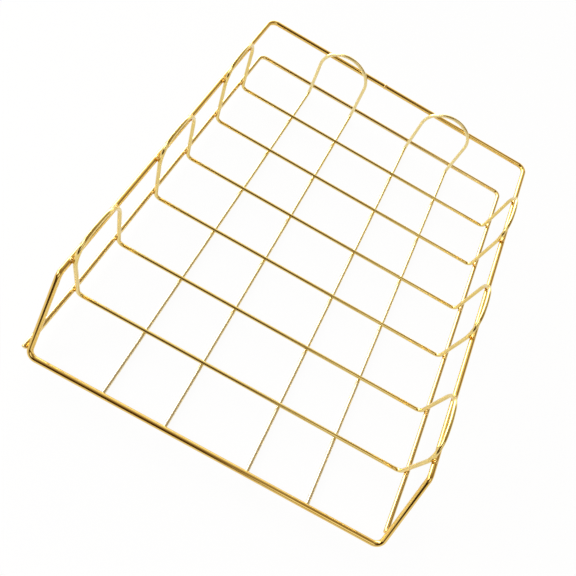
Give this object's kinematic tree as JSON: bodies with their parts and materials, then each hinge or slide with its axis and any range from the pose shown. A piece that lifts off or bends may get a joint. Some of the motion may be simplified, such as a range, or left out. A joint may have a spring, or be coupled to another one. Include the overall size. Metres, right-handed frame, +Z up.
{
  "type": "wire letter tray",
  "caption": "Open-fronted desk letter tray of bent gold wire: a heavy rim dips to a low front lip, over a wire grid floor whose wires rise as arches at the sides and back.",
  "frame": {"origin": "on the surface that the tray stands on, under the middle of the tray", "axes": "+X to the right seen from the open front, +Y from the open front to the back, +Z up"},
  "size_m": [0.2497, 0.3227, 0.0608],
  "materials": {
    "gold_rim": "polished gold plating on steel wire",
    "gold_frame": "polished gold plating on steel wire",
    "gold_loop": "polished gold plating on steel wire",
    "gold_hairpin": "polished gold plating on steel wire",
    "gold_weld": "plated weld bead, slightly rough"
  },
  "bodies": {
    "root": {"rim_wire": "gold_rim", "base_frame_wire": "gold_frame", "cross_loop_front": "gold_loop", "cross_loop_middle": "gold_loop", "cross_loop_rear": "gold_loop", "long_hairpin_left": "gold_hairpin", "long_hairpin_right": "gold_hairpin", "rim_butt_weld": "gold_weld", "weld_base_left_1": "gold_weld", "weld_base_left_2": "gold_weld", "weld_base_left_3": "gold_weld", "weld_base_left_4": "gold_weld", "weld_base_left_5": "gold_weld", "weld_base_left_6": "gold_weld", "weld_base_right_1": "gold_weld", "weld_base_right_2": "gold_weld", "weld_base_right_3": "gold_weld", "weld_base_right_4": "gold_weld", "weld_base_right_5": "gold_weld", "weld_base_right_6": "gold_weld", "weld_rim_left_1": "gold_weld", "weld_rim_left_2": "gold_weld", "weld_rim_left_3": "gold_weld", "weld_rim_left_4": "gold_weld", "weld_rim_left_5": "gold_weld", "weld_rim_left_6": "gold_weld", "weld_rim_right_1": "gold_weld", "weld_rim_right_2": "gold_weld", "weld_rim_right_3": "gold_weld", "weld_rim_right_4": "gold_weld", "weld_rim_right_5": "gold_weld", "weld_rim_right_6": "gold_weld", "weld_corner_left": "gold_weld", "weld_corner_right": "gold_weld"}
  },
  "joints": []
}
